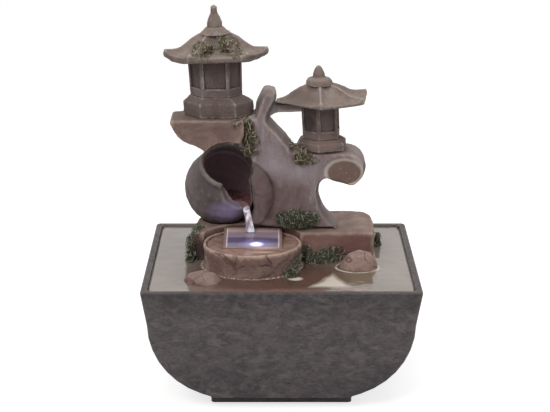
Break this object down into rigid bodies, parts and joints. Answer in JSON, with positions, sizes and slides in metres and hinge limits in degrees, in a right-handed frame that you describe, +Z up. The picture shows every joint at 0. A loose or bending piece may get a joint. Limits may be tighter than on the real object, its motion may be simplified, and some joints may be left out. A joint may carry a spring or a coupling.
{
  "type": "indoor tabletop fountain",
  "caption": "Tabletop fountain: deep filled bowl under a lift-out garden sculpture with stone lanterns on a tree trunk, a tipped jar and a lit stone basin.",
  "frame": {"origin": "middle of the footprint on the table, under the middle of the bowl", "axes": "+Z up, front with the basin towards -Y, +X to the right as seen from the front"},
  "size_m": [0.2036, 0.157, 0.2839],
  "materials": {
    "bowl": "satin cast resin, wrinkled like leather",
    "rubber": "matt black",
    "deck": "matt",
    "rock": "painted cast resin, reddish stone",
    "trunk": "painted cast resin, bark",
    "pot": "painted cast resin, dark pottery",
    "basin": "painted cast resin, cracked stone",
    "lantern": "painted cast resin, brown stone",
    "roof": "painted cast resin, dry-brushed stone",
    "stone": "painted cast resin, pinkish stone",
    "moss": "glued artificial moss",
    "lamp": "satin",
    "led": "clear lens, lit white",
    "clear": "clear acrylic",
    "pump": "satin black",
    "impeller": "smooth",
    "magnet": "sintered ferrite",
    "ceramic": "polished",
    "hose": "translucent vinyl"
  },
  "bodies": {
    "bowl": {"bowl": "bowl", "foot_pad_front_left": "rubber", "foot_pad_front_right": "rubber", "foot_pad_back_left": "rubber", "foot_pad_back_right": "rubber", "cord_gland": "rubber"},
    "sculpture": {"deck": "deck", "base_rock": "rock", "trunk": "trunk", "upper_ledge": "rock", "pot": "pot", "basin": "basin", "lamp_housing": "lamp", "led": "led", "window_frame": "lamp", "lamp_window": "clear", "left_lantern_plinth": "lantern", "left_lantern_fire_box": "lantern", "left_lantern_roof": "roof", "left_lantern_finial": "roof", "right_lantern_plinth": "lantern", "right_lantern_fire_box": "lantern", "right_lantern_roof": "roof", "right_lantern_finial": "roof", "left_stone": "stone", "right_stone": "stone", "moss_roof_right": "moss", "moss_roof_left": "moss", "moss_vine": "moss", "moss_crook": "moss", "moss_trunk_foot": "moss", "moss_rock_left": "moss", "moss_rock_front": "moss", "moss_basin_foot": "moss", "moss_rock_right": "moss", "pump_housing": "pump", "pump_cover": "pump", "rotor_shaft": "ceramic", "riser_hose": "hose", "water_nozzle": "pump", "suction_cup_front_left": "rubber", "suction_cup_front_right": "rubber", "suction_cup_back_left": "rubber", "suction_cup_back_right": "rubber", "lamp_lead": "rubber"},
    "impeller": {"impeller": "impeller", "rotor_magnet": "magnet"},
    "flow_dial": {"flow_dial": "pump"}
  },
  "joints": [
    {"name": "sculpture_lift", "type": "slide", "parent": "bowl", "child": "sculpture", "axis": [0, 0, 1], "range_m": [0, 0.1]},
    {"name": "impeller_spin", "type": "hinge", "parent": "sculpture", "child": "impeller", "pos_m": [-0.045, 0.033, 0.0345], "axis": [1, 0, 0], "continuous": true},
    {"name": "flow_dial_turn", "type": "hinge", "parent": "sculpture", "child": "flow_dial", "pos_m": [-0.0578, 0.033, 0.0345], "axis": [1, 0, 0], "range_deg": [0, 60]}
  ]
}
